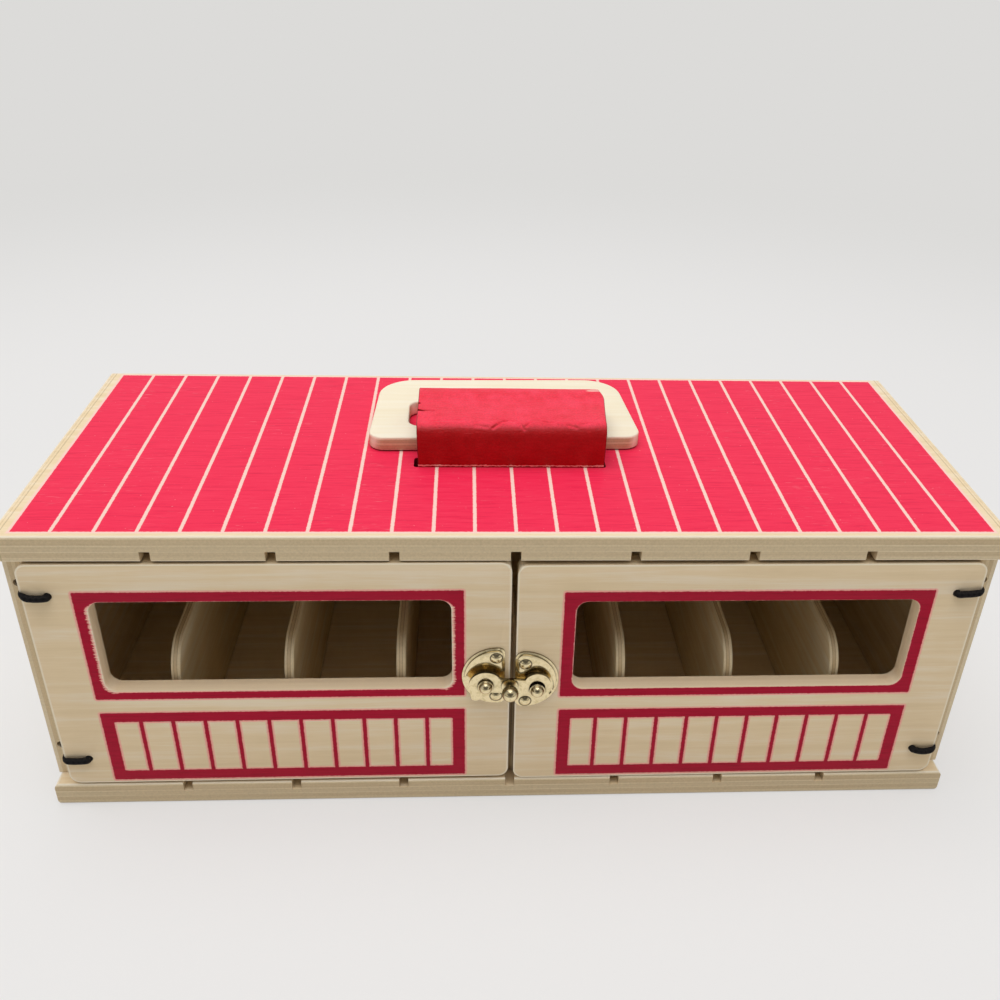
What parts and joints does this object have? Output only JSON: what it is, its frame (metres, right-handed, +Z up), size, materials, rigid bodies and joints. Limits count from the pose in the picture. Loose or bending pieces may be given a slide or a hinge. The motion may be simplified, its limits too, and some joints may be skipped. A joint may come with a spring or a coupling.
{
  "type": "toy barn",
  "caption": "Low plywood toy barn: stalls in a row behind two windowed doors on cord hinges, a swing-arm latch, and a lifting handle plate held to the roof by a strap.",
  "frame": {"origin": "centre of the underside of the base board, on the table", "axes": "+X to the right as seen from the doors, +Y to the back, +Z up"},
  "size_m": [0.321, 0.1386, 0.127],
  "materials": {
    "bare_plywood": "bare birch plywood, sanded, satin",
    "thin_plywood": "bare thin plywood, matte",
    "red_printed_roof": "plywood with a red printed top and pale lines",
    "printed_door_plywood": "bare plywood with dark red screen print on the front",
    "sanded_plywood": "plywood, sanded smooth, bare",
    "red_vinyl": "glossy soft vinyl sheet",
    "staple_steel": "galvanised wire",
    "black_elastic_cord": "braided elastic cord, matte",
    "latch_brass": "brass-plated pressed sheet, bright"
  },
  "bodies": {
    "cabinet": {"base_board": "bare_plywood", "roof_board": "red_printed_roof", "wall_left": "bare_plywood", "wall_right": "bare_plywood", "back_panel": "bare_plywood", "divider_1": "thin_plywood", "divider_2": "thin_plywood", "divider_3": "thin_plywood", "divider_4": "thin_plywood", "divider_5": "thin_plywood", "divider_6": "thin_plywood", "divider_7": "thin_plywood", "handle_strap": "red_vinyl", "strap_staples": "staple_steel", "hinge_cord_left_top": "black_elastic_cord", "hinge_cord_left_bottom": "black_elastic_cord", "hinge_cord_right_top": "black_elastic_cord", "hinge_cord_right_bottom": "black_elastic_cord"},
    "door_left_body": {"door_left": "printed_door_plywood", "latch_plate_left": "latch_brass", "latch_pivot_rivet": "latch_brass", "latch_nails_left": "latch_brass"},
    "door_right_body": {"door_right": "printed_door_plywood", "latch_plate_right": "latch_brass", "latch_catch_post": "latch_brass", "latch_nails_right": "latch_brass"},
    "latch_arm_body": {"latch_arm": "latch_brass", "latch_knob": "latch_brass"},
    "handle_body": {"handle_plate": "sanded_plywood"}
  },
  "joints": [
    {"name": "door_left_swing", "type": "hinge", "parent": "cabinet", "child": "door_left_body", "pos_m": [-0.1575, -0.05785, 0.0558], "axis": [0, 0, -1], "range_deg": [0, 180], "deforming": ["hinge_cord_left_top", "hinge_cord_left_bottom"]},
    {"name": "door_right_swing", "type": "hinge", "parent": "cabinet", "child": "door_right_body", "pos_m": [0.1575, -0.05785, 0.0558], "axis": [0, 0, 1], "range_deg": [0, 180], "deforming": ["hinge_cord_right_top", "hinge_cord_right_bottom"]},
    {"name": "latch_arm_turn", "type": "hinge", "parent": "door_left_body", "child": "latch_arm_body", "pos_m": [-0.0092, -0.0663, 0.05488], "axis": [0, -1, 0], "range_deg": [0, 100]},
    {"name": "handle_lift", "type": "hinge", "parent": "cabinet", "child": "handle_body", "pos_m": [-0.0015, -0.0048, 0.1118], "axis": [0.9997, 0.0227, 0], "range_deg": [0, 90]}
  ]
}
